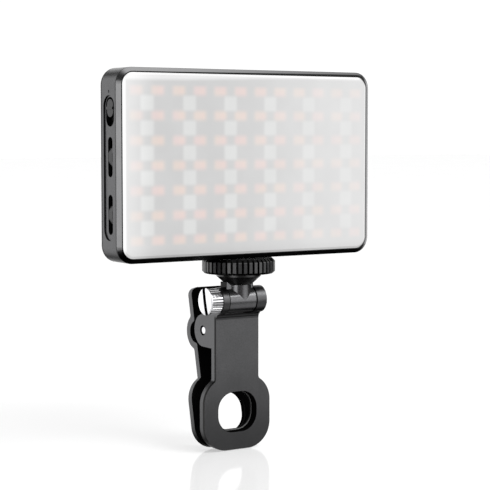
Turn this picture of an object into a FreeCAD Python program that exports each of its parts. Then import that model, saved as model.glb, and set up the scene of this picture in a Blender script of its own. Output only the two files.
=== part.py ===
import FreeCAD, Part
import math
import os
import Sketcher

# Clip-on fill light: a flat lamp panel on a tilting post, carried by a spring clip.
# Millimetres. X runs along the panel, the light shines towards -Y and +Z is up.
# The origin is where the clip grips: on the rear face of the front jaw's rubber pad,
# at the middle of the camera hole.

SIZES = {
    # lamp panel
    "panel_width": 108.0,
    "panel_height": 68.0,
    "panel_depth": 13.2,
    "panel_round": 6.1,
    "bezel": 1.5,
    "side_wall": 1.4,
    "cover_thick": 1.5,
    "cover_bevel": 0.7,
    "cover_lip": 1.2,
    "diffuser_thick": 1.8,
    "diffuser_inset": 1.8,
    "diffuser_bevel": 0.8,
    "ledge_width": 1.6,
    "ledge_thick": 1.2,
    "fit_gap": 0.1,
    # light board
    "board_thick": 1.0,
    "board_margin": 0.9,
    "led_wide": 3.5,
    "led_tall": 2.8,
    "led_thick": 0.7,
    "led_border_wide": 3.0,
    "led_border_tall": 3.55,
    # electronics behind the light board
    "battery_free": 17.2,
    "battery_ends": 12.0,
    "battery_thick": 5.6,
    "battery_round": 2.0,
    "battery_margin": 2.0,
    "control_wide": 24.0,
    "control_ends": 8.0,
    "charge_wide": 10.0,
    "charge_tall": 22.0,
    "circuit_thick": 1.0,
    "port_wide": 8.9,
    "port_tall": 3.2,
    "port_deep": 7.3,
    "port_wall": 0.3,
    "port_well": 5.8,
    "tongue_tall": 6.6,
    "tongue_tip": 1.1,
    # recessed strip with the three controls, on the left side of the panel
    "strip_wide": 8.2,
    "strip_ends": 8.8,
    "strip_deep": 0.45,
    "strip_middle": 6.45,
    "strip_drop": 0.85,
    "power_share": 0.386,
    "power_slot_wide": 5.8,
    "power_slot_share": 0.2024,
    "power_knob_wide": 4.4,
    "power_knob_tall": 6.2,
    "power_gap": 0.7,
    "power_stem": 1.2,
    "grip_ridge": 0.9,
    "grip_deep": 0.35,
    "upper_share": 0.0764,
    "lower_share": 0.3204,
    "toggle_slot_wide": 3.3,
    "toggle_slot_share": 0.2758,
    "toggle_nub_tall": 6.2,
    "toggle_crest": 2.6,
    "indicator_drop": 8.4,
    "indicator_radius": 0.5,
    "control_gap": 0.3,
    "switch_deep": 4.2,
    "switch_wide": 4.6,
    # tripod socket and screw
    "socket_radius": 4.0,
    "socket_long": 8.0,
    "stud_radius": 3.05,
    "stud_gap": 0.08,
    "stud_reach": 5.6,
    "stud_point": 0.8,
    "stud_setback": 8.2,
    "shank_radius": 2.2,
    "shank_long": 3.1,
    "shank_clip_radius": 2.9,
    "shank_clip_thick": 0.5,
    "shank_groove": 0.45,
    # locking wheel
    "wheel_radius": 13.4,
    "wheel_tall": 5.6,
    "wheel_ribs": 42,
    "rib_deep": 1.2,
    "rib_wide": 1.15,
    "wheel_top_bevel": 1.2,
    "wheel_low_bevel": 0.8,
    "collar_radius": 8.25,
    "collar_tall": 1.1,
    "cone_radius": 4.9,
    "cone_tall": 3.0,
    "cone_rise": 5.9,
    "wheel_gap": 0.2,
    # tilting post
    "barrel_radius": 4.7,
    "barrel_left": 6.6,
    "barrel_right": 5.1,
    "web_thick": 3.8,
    "web_rise": 6.9,
    "seat_gap": 0.15,
    # clip: front jaw
    "pad_thick": 1.0,
    "plate_thick": 3.25,
    "axis_forward": 0.8,
    "tilt_height": 41.75,
    "jaw_width": 18.5,
    "ear_radius": 4.95,
    "ear_gap": 0.15,
    "plate_short": 3.5,
    "ear_fillet": 2.5,
    "saddle_gap": 0.4,
    "neck_fillet": 1.5,
    "lobe_radius": 6.0,
    "lobe_thick": 2.2,
    "pivot_height": 29.85,
    "pivot_back": 5.15,
    "ring_width": 28.5,
    "ring_bottom": 14.05,
    "ring_round": 9.5,
    "shoulder_rise": 3.5,
    "shoulder_radius": 9.7,
    "hole_wide": 16.6,
    "hole_tall": 14.8,
    "hole_round": 6.4,
    "lug_root": 0.5,
    "fold_round": 1.2,
    "pad_inset": 0.8,
    "pad_lip": 0.4,
    "pad_rise": 9.0,
    # clip: rear jaw
    "rear_thick": 2.45,
    "rear_offset": 5.3,
    "rear_lean": 12.35,
    "tab_rise": 16.8,
    "tab_round": 3.0,
    "bump_radius": 6.5,
    "rear_ring_drop": 29.1,
    "rear_round": 8.0,
    "rear_hole_drop": 1.5,
    "lug_radius": 3.6,
    "lug_thick": 2.0,
    "lug_gap": 0.3,
    # pivot pin, spring and tilt screw
    "pin_radius": 1.25,
    "pin_gap": 0.05,
    "pin_sink_radius": 1.85,
    "pin_sink": 0.7,
    "coil_radius": 2.65,
    "wire_radius": 0.5,
    "coil_pitch": 1.15,
    "coil_turns": 3.5,
    "spring_reach": 8.0,
    "screw_radius": 1.95,
    "screw_gap": 0.05,
    "head_radius": 4.95,
    "head_out": 14.55,
    "knurl_radius": 4.65,
    "knurl_grooves": 28,
    "knurl_deep": 0.3,
    "slot_wide": 1.7,
    "slot_deep": 1.5,
    "slot_lean": 13.0,
}

doc = FreeCAD.newDocument("FillLight")
sheet = doc.addObject("Spreadsheet::Sheet", "Sizes")
for row, (name, number) in enumerate(SIZES.items(), start=1):
    sheet.set("A%d" % row, name)
    sheet.set("B%d" % row, str(number))
    sheet.setAlias("B%d" % row, name)
doc.recompute()


class Size:
    """A number together with the sheet expression that gives it."""

    def __init__(self, value, text):
        self.value = value
        self.text = text

    def __add__(self, other):
        other = as_size(other)
        return Size(self.value + other.value, "(%s + %s)" % (self.text, other.text))

    def __sub__(self, other):
        other = as_size(other)
        return Size(self.value - other.value, "(%s - %s)" % (self.text, other.text))

    def __mul__(self, other):
        other = as_size(other)
        return Size(self.value * other.value, "(%s * %s)" % (self.text, other.text))

    def __truediv__(self, other):
        other = as_size(other)
        return Size(self.value / other.value, "(%s / %s)" % (self.text, other.text))

    def __neg__(self):
        return Size(-self.value, "(0 - %s)" % self.text)


def as_size(thing):
    return thing if isinstance(thing, Size) else Size(float(thing), "%.6f" % thing)


def root(size):
    return Size(math.sqrt(size.value), "sqrt(%s)" % size.text)


class Sheet:
    """The sheet's cells as Size values, by their aliases."""

    def __getattr__(self, name):
        return Size(float(sheet.get(name)), "Sizes." + name)


d = Sheet()
ZERO = as_size(0)


def bind(thing, prop, size):
    thing.setExpression(prop, as_size(size).text)


def place(thing, x, y, z):
    bind(thing, "Placement.Base.x", x)
    bind(thing, "Placement.Base.y", y)
    bind(thing, "Placement.Base.z", z)


def turn(thing, axis, angle):
    thing.Placement.Rotation = FreeCAD.Rotation(axis, 1.0)
    bind(thing, "Placement.Rotation.Angle", angle)


def new_body(label):
    body = doc.addObject("PartDesign::Body", label)
    body.Label = label
    return body


def origin_part(body, role):
    return [item for item in body.Origin.OriginFeatures if item.Role == role][0]


# a sketch on a plane across a global axis looks along +X, along -Y or along +Z
NORMAL_SIGN = {"YZ_Plane": 1, "XZ_Plane": -1, "XY_Plane": 1}


def new_sketch(body, role, at):
    """A sketch on one of the body's origin planes, moved along the axis across it."""
    sketch = body.newObject("Sketcher::SketchObject", body.Name + "_sketch")
    sketch.AttachmentSupport = [(origin_part(body, role), "")]
    sketch.MapMode = "FlatFace"
    at = as_size(at)
    bind(sketch, "AttachmentOffset.Base.z", at if NORMAL_SIGN[role] > 0 else -at)
    return sketch


def fix(sketch, kind, geometry, point, size):
    index = sketch.addConstraint(Sketcher.Constraint(kind, -1, 1, geometry, point, size.value))
    bind(sketch, "Constraints[%d]" % index, size)


def arc_between(start, end, radius, turn_left):
    """The short arc from start to end; turn_left says that it bends anticlockwise."""
    gap = end - start
    half = gap.Length / 2
    rise = math.sqrt(max(radius * radius - half * half, 0.0))
    side = FreeCAD.Vector(-gap.y, gap.x, 0).normalize()
    centre = (start + end) * 0.5 + side * (rise if turn_left else -rise)
    first, last = (start, end) if turn_left else (end, start)
    a0 = math.atan2(first.y - centre.y, first.x - centre.x)
    a1 = math.atan2(last.y - centre.y, last.x - centre.x)
    if a1 < a0:
        a1 += 2 * math.pi
    return Part.ArcOfCircle(Part.Circle(centre, FreeCAD.Vector(0, 0, 1), radius), a0, a1)


def outline(sketch, points):
    """A closed outline. Each point is (x, y) or (x, y, radius, side): with a radius the
    edge that arrives at the point is an arc that bends to the left or right."""
    points = [tuple(as_size(v) if i < 3 else v for i, v in enumerate(p)) for p in points]
    spots = [FreeCAD.Vector(p[0].value, p[1].value, 0) for p in points]
    ends = []
    for i, point in enumerate(points):
        start, end = spots[i - 1], spots[i]
        if len(point) == 4:
            left = point[3] == "left"
            index = sketch.addGeometry(arc_between(start, end, point[2].value, left))
            ends.append((index, (1, 2) if left else (2, 1)))
        else:
            index = sketch.addGeometry(Part.LineSegment(start, end))
            ends.append((index, (1, 2)))
    for i, point in enumerate(points):
        index, (first, last) = ends[i]
        following, (next_first, next_last) = ends[(i + 1) % len(points)]
        sketch.addConstraint(Sketcher.Constraint("Coincident", index, last, following, next_first))
        fix(sketch, "DistanceX", index, last, point[0])
        fix(sketch, "DistanceY", index, last, point[1])
        if len(point) == 4:
            number = sketch.addConstraint(Sketcher.Constraint("Radius", index, point[2].value))
            bind(sketch, "Constraints[%d]" % number, point[2])
    return sketch


def circle(sketch, x, y, radius):
    x, y, radius = as_size(x), as_size(y), as_size(radius)
    centre = FreeCAD.Vector(x.value, y.value, 0)
    ring = Part.Circle(centre, FreeCAD.Vector(0, 0, 1), radius.value)
    index = sketch.addGeometry(ring)
    fix(sketch, "DistanceX", index, 3, x)
    fix(sketch, "DistanceY", index, 3, y)
    number = sketch.addConstraint(Sketcher.Constraint("Radius", index, radius.value))
    bind(sketch, "Constraints[%d]" % number, radius)
    return sketch


def rectangle(sketch, x0, y0, x1, y1):
    return outline(sketch, [(x0, y0), (x1, y0), (x1, y1), (x0, y1)])


def rounded(sketch, x0, y0, x1, y1, radius):
    """A rectangle with round corners, drawn anticlockwise."""
    x0, y0, x1, y1, radius = [as_size(v) for v in (x0, y0, x1, y1, radius)]
    return outline(sketch, [
        (x0 + radius, y0), (x1 - radius, y0), (x1, y0 + radius, radius, "left"),
        (x1, y1 - radius), (x1 - radius, y1, radius, "left"),
        (x0 + radius, y1), (x0, y1 - radius, radius, "left"),
        (x0, y0 + radius), (x0 + radius, y0, radius, "left"),
    ][1:])


def stadium(sketch, x, y, wide, tall):
    """A slot outline with nearly half-round ends, centred on (x, y)."""
    end = wide * 0.49
    return rounded(sketch, x - wide / 2, y - tall / 2, x + wide / 2, y + tall / 2, end)


def feature(body, kind, sketch):
    item = body.newObject("PartDesign::" + kind, body.Name + "_" + kind.lower())
    item.Profile = sketch
    return item


def pad(sketch, body, length, forward=True):
    """Adds the sketch's area along the positive axis, or along the negative one."""
    item = feature(body, "Pad", sketch)
    bind(item, "Length", length)
    role = sketch.AttachmentSupport[0][0].Role
    item.Reversed = (NORMAL_SIGN[role] > 0) != forward
    return item


def cut(sketch, body, length, forward=True):
    """Removes the sketch's area along the positive axis, or along the negative one."""
    item = feature(body, "Pocket", sketch)
    bind(item, "Length", length)
    role = sketch.AttachmentSupport[0][0].Role
    item.Reversed = (NORMAL_SIGN[role] > 0) == forward
    return item


def spin(sketch, body, axis, kind="Revolution"):
    """Adds or removes the sketch's area turned once round one of the body's axes."""
    item = feature(body, kind, sketch)
    item.ReferenceAxis = (origin_part(body, axis), [""])
    item.Angle = 360
    return item


def ring_of(body, item, axis, count):
    pattern = body.newObject("PartDesign::PolarPattern", body.Name + "_pattern")
    pattern.Originals = [item]
    pattern.Axis = (origin_part(body, axis), [""])
    pattern.Angle = 360
    bind(pattern, "Occurrences", count)
    body.Tip = pattern
    return pattern


def edges_where(item, test):
    """Names of the edges whose end points all pass the test."""
    doc.recompute()
    names = []
    for number, edge in enumerate(item.Shape.Edges, start=1):
        if all(test(vertex.Point) for vertex in edge.Vertexes):
            names.append("Edge%d" % number)
    return names


def soften(body, item, kind, names, size):
    """A fillet or a chamfer on the named edges of an item of the body."""
    result = body.newObject("PartDesign::" + kind, body.Name + "_" + kind.lower())
    result.Base = (item, names)
    bind(result, "Radius" if kind == "Fillet" else "Size", size)
    return result


def near(a, b):
    return abs(a - b) < 0.001


def box(label, x0, y0, z0, wide, deep, tall):
    """A plain block from its low corner and its three lengths."""
    item = doc.addObject("Part::Box", label)
    item.Label = label
    bind(item, "Length", wide)
    bind(item, "Width", deep)
    bind(item, "Height", tall)
    place(item, x0, y0, z0)
    return item


# main places
plate_front = -(d.pad_thick + d.plate_thick)
plate_back = -d.pad_thick
tilt_y = plate_front - d.axis_forward
tilt_z = d.tilt_height
wheel_foot = d.cone_rise + d.cone_tall + d.collar_tall
panel_low = tilt_z + wheel_foot + d.wheel_tall + d.wheel_gap
panel_mid = panel_low + d.panel_height / 2
panel_top = panel_low + d.panel_height
panel_front = tilt_y - d.stud_setback
panel_back = panel_front + d.panel_depth
half_width = d.panel_width / 2
cover_front = panel_back - d.cover_thick
ledge_front = panel_front + d.diffuser_thick
board_front = ledge_front + d.ledge_thick
board_back = board_front + d.board_thick
strip_y = panel_front + d.strip_middle
strip_floor = -half_width + d.strip_deep
strip_mid = panel_mid - d.strip_drop
strip_tall = d.panel_height - d.strip_ends * 2
power_mid = strip_mid + strip_tall * d.power_share
upper_mid = strip_mid + strip_tall * d.upper_share
lower_mid = strip_mid - strip_tall * d.lower_share
power_slot_tall = strip_tall * d.power_slot_share
toggle_slot_tall = strip_tall * d.toggle_slot_share
indicator_mid = panel_top - d.indicator_drop
inner_side = half_width - d.side_wall
half_jaw = d.jaw_width / 2


def panel_outline(sketch, inset, radius):
    """The panel's rounded outline, drawn in by an inset all round."""
    inset = as_size(inset)
    return rounded(sketch, -half_width + inset, panel_low + inset,
                   half_width - inset, panel_top - inset, radius)


def make_housing():
    body = new_body("housing")
    deep = d.panel_depth - d.cover_thick
    block = panel_outline(new_sketch(body, "XZ_Plane", panel_front), 0, d.panel_round)
    shell = pad(block, body, deep)
    front = edges_where(shell, lambda p: near(p.y, panel_front.value))
    soften(body, shell, "Chamfer", front, d.bezel)
    seat = panel_outline(new_sketch(body, "XZ_Plane", panel_front), d.diffuser_inset,
                         d.panel_round - d.diffuser_inset)
    cut(seat, body, d.diffuser_thick)
    window = panel_outline(new_sketch(body, "XZ_Plane", ledge_front),
                           d.diffuser_inset + d.ledge_width,
                           d.panel_round - d.diffuser_inset - d.ledge_width)
    cut(window, body, d.ledge_thick)
    cavity = panel_outline(new_sketch(body, "XZ_Plane", board_front), d.side_wall,
                           d.panel_round - d.side_wall)
    cut(cavity, body, d.panel_depth)
    # boss for the tripod socket, behind the light board
    boss = new_sketch(body, "XZ_Plane", board_back + d.fit_gap)
    reach = d.socket_radius + d.side_wall
    boss_low = panel_low + d.side_wall / 2
    rectangle(boss, -reach, boss_low, reach, boss_low + d.socket_long)
    pad(boss, body, cover_front - board_back - d.fit_gap)
    bore = circle(new_sketch(body, "XY_Plane", panel_low), 0, tilt_y, d.socket_radius)
    cut(bore, body, d.socket_long)
    # recessed strip with its three slots
    strip = stadium(new_sketch(body, "YZ_Plane", -half_width), strip_y, strip_mid,
                    d.strip_wide, strip_tall)
    cut(strip, body, d.strip_deep)
    for middle, wide, tall in (
        (power_mid, d.power_slot_wide, power_slot_tall),
        (upper_mid, d.toggle_slot_wide, toggle_slot_tall),
        (lower_mid, d.toggle_slot_wide, toggle_slot_tall),
    ):
        slot = stadium(new_sketch(body, "YZ_Plane", strip_floor), strip_y, middle, wide, tall)
        cut(slot, body, d.side_wall)
    lens = circle(new_sketch(body, "YZ_Plane", -half_width), strip_y, indicator_mid,
                  d.indicator_radius + d.pin_gap)
    cut(lens, body, d.side_wall)
    # charging port on the right side
    port = stadium(new_sketch(body, "YZ_Plane", half_width), strip_y, panel_mid,
                   d.port_tall + d.fit_gap * 2, d.port_wide + d.fit_gap * 2)
    cut(port, body, d.side_wall * 2, forward=False)
    return body


def make_back_cover():
    body = new_body("back_cover")
    sheet_outline = panel_outline(new_sketch(body, "XZ_Plane", cover_front), 0, d.panel_round)
    plate = pad(sheet_outline, body, d.cover_thick)
    back = edges_where(plate, lambda p: near(p.y, panel_back.value))
    soften(body, plate, "Chamfer", back, d.cover_bevel)
    inset = d.side_wall + d.fit_gap
    lip = panel_outline(new_sketch(body, "XZ_Plane", cover_front), inset, d.panel_round - inset)
    panel_outline(lip, inset + d.cover_lip, d.panel_round - inset - d.cover_lip)
    pad(lip, body, d.cover_lip, forward=False)
    # notch in the lip for the socket's boss
    notch = new_sketch(body, "XZ_Plane", cover_front)
    reach = d.socket_radius + d.side_wall + d.fit_gap
    rectangle(notch, -reach, panel_low + d.side_wall, reach,
              panel_low + d.socket_long + d.side_wall)
    cut(notch, body, d.cover_lip, forward=False)
    trough = circle(new_sketch(body, "XY_Plane", panel_low), 0, tilt_y, d.socket_radius + d.fit_gap)
    cut(trough, body, d.socket_long + d.fit_gap)
    return body


def make_diffuser():
    body = new_body("diffuser")
    inset = d.diffuser_inset + d.fit_gap / 2
    sheet_outline = panel_outline(new_sketch(body, "XZ_Plane", panel_front), inset, d.panel_round - inset)
    plate = pad(sheet_outline, body, d.diffuser_thick)
    front = edges_where(plate, lambda p: near(p.y, panel_front.value))
    soften(body, plate, "Chamfer", front, d.diffuser_bevel)
    return body


def make_led_board():
    body = new_body("led_board")
    inset = d.side_wall + d.board_margin
    board = panel_outline(new_sketch(body, "XZ_Plane", board_front), inset, d.panel_round - inset)
    pad(board, body, d.board_thick)
    return body


def make_leds(label, columns, rows):
    """One group of light packages, each a solid of its own, on the front of the board."""
    wide, tall, thick = d.led_wide.value, d.led_tall.value, d.led_thick.value
    lamps = []
    for column in columns:
        for row in rows:
            corner = FreeCAD.Vector(column - wide / 2, board_front.value - thick,
                                    panel_mid.value + row - tall / 2)
            lamps.append(Part.makeBox(wide, thick, tall, corner))
    group = doc.addObject("Part::Feature", label)
    group.Label = label
    group.Shape = Part.makeCompound(lamps)
    return group


def make_all_leds():
    column = (d.panel_width.value - d.led_border_wide.value * 2) / 12
    row = (d.panel_height.value - d.led_border_tall.value * 2) / 7
    warm_columns = [(i - 5.5) * column for i in range(12)]
    cool_columns = [(i - 2.5) * 2 * column for i in range(6)]
    return [make_leds("warm_leds", warm_columns, [(i - 3) * row for i in range(7)]),
            make_leds("cool_leds", cool_columns, [(i - 2.5) * row for i in range(6)])]


def make_battery():
    body = new_body("battery")
    wide = inner_side * 2 - d.control_wide - d.charge_wide - d.battery_free
    left = inner_side - d.charge_wide - d.battery_margin - wide
    tall = d.panel_height - d.battery_ends * 2
    low = panel_mid - tall / 2 + d.socket_long / 2
    cell = rounded(new_sketch(body, "XZ_Plane", board_back + d.fit_gap), left, low,
                   left + wide, low + tall, d.battery_round)
    pad(cell, body, d.battery_thick)
    return body


def make_circuit_boards():
    """The control board behind the three switches, and the charging board at the port."""
    control_y = strip_y + d.switch_wide / 2
    control_tall = d.panel_height - d.control_ends * 2
    control = box("control_board", -inner_side + d.control_gap * 3, control_y,
                  panel_mid - d.strip_drop - control_tall / 2,
                  d.control_wide, d.circuit_thick, control_tall)
    charge_y = strip_y + d.port_tall / 2
    charge = box("charge_board", inner_side - d.fit_gap - d.charge_wide, charge_y,
                 panel_mid - d.charge_tall / 2, d.charge_wide, d.circuit_thick, d.charge_tall)
    return [control, charge]


def make_charge_socket():
    """The port's metal shell, open towards +X, with its tongue."""
    body = new_body("charge_socket")
    mouth = half_width - d.strip_deep
    shell = stadium(new_sketch(body, "YZ_Plane", mouth), strip_y, panel_mid, d.port_tall, d.port_wide)
    pad(shell, body, d.port_deep, forward=False)
    well = stadium(new_sketch(body, "YZ_Plane", mouth), strip_y, panel_mid,
                   d.port_tall - d.port_wall * 2, d.port_wide - d.port_wall * 2)
    cut(well, body, d.port_well, forward=False)
    tongue = new_sketch(body, "YZ_Plane", mouth - d.port_deep + d.port_wall)
    rectangle(tongue, strip_y - d.port_wall, panel_mid - d.tongue_tall / 2,
              strip_y + d.port_wall, panel_mid + d.tongue_tall / 2)
    pad(tongue, body, d.port_deep - d.port_wall - d.tongue_tip)
    return body


def make_switches():
    """The three switch bodies behind the slots, inside the panel."""
    switches = []
    for label, middle, tall in (
        ("power_switch", power_mid, power_slot_tall),
        ("upper_switch", upper_mid, toggle_slot_tall),
        ("lower_switch", lower_mid, toggle_slot_tall),
    ):
        switches.append(box(label, -inner_side + d.control_gap * 3, strip_y - d.switch_wide / 2,
                            middle - tall / 2, d.switch_deep, d.switch_wide, tall))
    return switches


def make_power_slider():
    """Slide knob with a grip ridge, parked at the top of its slot, on a narrow stem."""
    body = new_body("power_slider")
    wide, tall = d.power_knob_wide, d.power_knob_tall
    middle = power_mid + (power_slot_tall - tall) / 2 - d.power_gap
    out = strip_floor - d.grip_deep
    knob = stadium(new_sketch(body, "YZ_Plane", out), strip_y, middle, wide, tall)
    pad(knob, body, -inner_side - out)
    # grip: two shallow steps with a ridge left between them
    for side in (-1, 1):
        step = new_sketch(body, "XZ_Plane", strip_y - wide / 2)
        rectangle(step, out, middle + d.grip_ridge / 2 * side, strip_floor, middle + tall / 2 * side)
        cut(step, body, wide)
    stem = new_sketch(body, "YZ_Plane", -inner_side)
    rectangle(stem, strip_y - d.power_stem, middle - d.power_stem, strip_y + d.power_stem,
              middle + d.power_stem)
    pad(stem, body, d.control_gap * 2)
    return body


def make_toggle(label, middle):
    """Sprung toggle: a low foot with a steep-sided crest in the middle of its slot."""
    body = new_body(label)
    wide = d.toggle_slot_wide - d.control_gap * 2
    foot = d.toggle_nub_tall / 2
    crest = d.toggle_crest / 2
    side = new_sketch(body, "XZ_Plane", strip_y - wide / 2)
    out = strip_floor
    back = -inner_side + d.control_gap * 2
    brim = -inner_side - d.control_gap
    outline(side, [
        (back, middle - foot), (back, middle + foot), (brim, middle + foot),
        (out, middle + crest), (out, middle - crest), (brim, middle - foot),
    ])
    pad(side, body, wide)
    return body


def make_indicator_lens():
    """Small light pipe above the strip."""
    lens = doc.addObject("Part::Cylinder", "indicator_lens")
    lens.Label = "indicator_lens"
    bind(lens, "Radius", d.indicator_radius)
    bind(lens, "Height", d.side_wall + d.control_gap)
    lens.Placement.Rotation = FreeCAD.Rotation(FreeCAD.Vector(0, 1, 0), 90)
    place(lens, -half_width + d.fit_gap, strip_y, indicator_mid)
    return lens


def make_tripod_socket():
    body = new_body("tripod_socket")
    ring = circle(new_sketch(body, "XY_Plane", panel_low), 0, tilt_y, d.socket_radius)
    circle(ring, 0, tilt_y, d.stud_radius + d.stud_gap)
    pad(ring, body, d.socket_long)
    return body


def make_stud():
    """Tripod screw with a thin shank below, held in the post by a ring."""
    body = new_body("stud")
    top = wheel_foot + d.wheel_tall + d.wheel_gap + d.stud_reach
    low = d.cone_rise - d.shank_long
    profile = new_sketch(body, "XZ_Plane", 0)
    neck = d.shank_radius - d.shank_groove
    groove = low + d.shank_clip_thick * 2
    outline(profile, [
        (0, low), (d.shank_radius, low), (d.shank_radius, groove - d.shank_clip_thick),
        (neck, groove - d.shank_clip_thick), (neck, groove),
        (d.shank_radius, groove), (d.shank_radius, d.cone_rise), (d.stud_radius, d.cone_rise),
        (d.stud_radius, top - d.stud_point), (d.stud_radius - d.stud_point, top), (0, top),
    ])
    spin(profile, body, "Z_Axis")
    place(body, 0, tilt_y, tilt_z)
    return body


def make_stud_ring():
    """Open spring ring in the shank's groove."""
    body = new_body("stud_ring")
    low = d.cone_rise - d.shank_long + d.shank_clip_thick
    ring = circle(new_sketch(body, "XY_Plane", low), 0, 0, d.shank_clip_radius)
    circle(ring, 0, 0, d.shank_radius - d.shank_groove + d.pin_gap)
    pad(ring, body, d.shank_clip_thick)
    mouth = new_sketch(body, "XY_Plane", low)
    rectangle(mouth, -d.shank_groove, 0, d.shank_groove, d.shank_clip_radius + d.fit_gap)
    cut(mouth, body, d.shank_clip_thick)
    place(body, 0, tilt_y, tilt_z)
    return body


def make_locking_wheel():
    """Ribbed thumb wheel with a collar and a cone that sits in the post's seat."""
    body = new_body("locking_wheel")
    top = wheel_foot + d.wheel_tall
    rim = d.wheel_radius - d.rib_deep
    profile = new_sketch(body, "XZ_Plane", 0)
    outline(profile, [
        (d.stud_radius, d.cone_rise), (d.cone_radius, d.cone_rise),
        (d.collar_radius, d.cone_rise + d.cone_tall), (d.collar_radius, wheel_foot),
        (rim, wheel_foot), (rim, top), (d.stud_radius, top),
    ])
    spin(profile, body, "Z_Axis")
    # one rib with sloping ends, drawn across its width and repeated round the rim
    rib = new_sketch(body, "XZ_Plane", -d.rib_wide / 2)
    low, high = d.wheel_low_bevel, d.wheel_top_bevel
    root_of_rib = rim - d.fit_gap * 2
    out = d.wheel_radius
    outline(rib, [
        (root_of_rib, wheel_foot), (out - low, wheel_foot), (out, wheel_foot + low),
        (out, top - high), (out - high, top), (root_of_rib, top),
    ])
    ring_of(body, pad(rib, body, d.rib_wide), "Z_Axis", d.wheel_ribs)
    place(body, 0, tilt_y, tilt_z)
    return body


def make_tilt_post():
    """Barrel and post of one diameter, meeting at right angles, with a flat web
    across them and a conical seat for the wheel."""
    body = new_body("tilt_post")
    barrel = circle(new_sketch(body, "YZ_Plane", -d.barrel_left), 0, 0, d.barrel_radius)
    pad(barrel, body, d.barrel_left + d.barrel_right)
    web = new_sketch(body, "XY_Plane", 0)
    rectangle(web, -d.barrel_left, -d.web_thick / 2, d.barrel_right, d.web_thick / 2)
    pad(web, body, d.web_rise)
    post = circle(new_sketch(body, "XY_Plane", 0), 0, 0, d.barrel_radius)
    pad(post, body, d.web_rise)
    seat = new_sketch(body, "XZ_Plane", 0)
    floor = d.cone_rise - d.seat_gap
    foot = d.cone_radius + d.seat_gap
    head = d.collar_radius + d.seat_gap
    outline(seat, [
        (0, floor), (foot, floor), (head, floor + d.cone_tall), (0, floor + d.cone_tall),
    ])
    spin(seat, body, "Z_Axis", "Groove")
    # stepped well for the stud's shank and its ring
    well = d.shank_long + d.fit_gap
    shank = circle(new_sketch(body, "XY_Plane", floor), 0, 0, d.shank_radius + d.pin_gap)
    cut(shank, body, well, forward=False)
    ring_top = d.cone_rise - d.shank_long + d.shank_clip_thick * 2 + d.fit_gap
    cut(circle(new_sketch(body, "XY_Plane", ring_top), 0, 0, d.shank_clip_radius + d.fit_gap),
        body, d.shank_clip_thick + d.fit_gap * 2, forward=False)
    cross = circle(new_sketch(body, "YZ_Plane", -d.barrel_left), 0, 0, d.screw_radius + d.screw_gap)
    cut(cross, body, d.barrel_left + d.barrel_right)
    place(body, 0, tilt_y, tilt_z)
    return body


def make_thumb_screw():
    """Slotted, knurled clamping screw through both ears and the barrel."""
    body = new_body("thumb_screw")
    collar = half_jaw + d.ear_gap
    rim = d.head_radius - d.knurl_radius
    profile = new_sketch(body, "XY_Plane", 0)
    outline(profile, [
        (-d.head_out, 0), (-d.head_out + rim / 2, d.head_radius - rim * 2),
        (-d.head_out + rim, d.head_radius), (-d.head_out + rim * 2, d.head_radius),
        (-d.head_out + rim * 3, d.knurl_radius), (-collar, d.knurl_radius),
        (-collar, d.screw_radius), (half_jaw - rim, d.screw_radius), (half_jaw - rim, 0),
    ])
    spin(profile, body, "X_Axis")
    notch = new_sketch(body, "YZ_Plane", -d.head_out + rim * 3)
    half = d.knurl_deep
    over = d.knurl_radius + d.fit_gap / 2
    outline(notch, [(-half, over), (0, d.knurl_radius - half), (half, over)])
    ring_of(body, cut(notch, body, d.head_out), "X_Axis", d.knurl_grooves)
    slot = new_sketch(body, "YZ_Plane", -d.head_out)
    rectangle(slot, -d.slot_wide / 2, -d.head_radius, d.slot_wide / 2, d.head_radius)
    cut(slot, body, d.slot_deep)
    place(body, 0, tilt_y, tilt_z)
    turn(body, FreeCAD.Vector(-1, 0, 0), d.slot_lean)
    return body


def jaw_outline(sketch, top, top_round, middle, low_round):
    """The front view of a jaw: a straight neck that widens to a ring end."""
    ring = d.ring_width / 2
    low = middle - d.ring_bottom
    shoulder_x = ring - d.shoulder_radius
    shoulder_z = middle + d.shoulder_rise
    # the neck meets the shoulder's arc at this height
    reach = half_jaw - shoulder_x
    neck = shoulder_z + root(d.shoulder_radius * d.shoulder_radius - reach * reach)
    turn_x = ring - low_round
    points = [
        (turn_x, low), (ring, low + low_round, low_round, "left"), (ring, shoulder_z),
        (half_jaw, neck, d.shoulder_radius, "left"),
    ]
    if top_round is None:
        points += [(half_jaw, top), (-half_jaw, top)]
    else:
        points += [
            (half_jaw, top - top_round), (half_jaw - top_round, top, top_round, "left"),
            (-half_jaw + top_round, top), (-half_jaw, top - top_round, top_round, "left"),
        ]
    points += [
        (-half_jaw, neck), (-ring, shoulder_z, d.shoulder_radius, "left"),
        (-ring, low + low_round), (-turn_x, low, low_round, "left"),
    ]
    return outline(sketch, points)


def hole_outline(sketch, middle, grow):
    """The camera hole, drawn out by a margin all round."""
    wide = d.hole_wide / 2 + grow
    tall = d.hole_tall / 2 + grow
    return rounded(sketch, -wide, middle - tall, wide, middle + tall, d.hole_round + grow)


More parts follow.
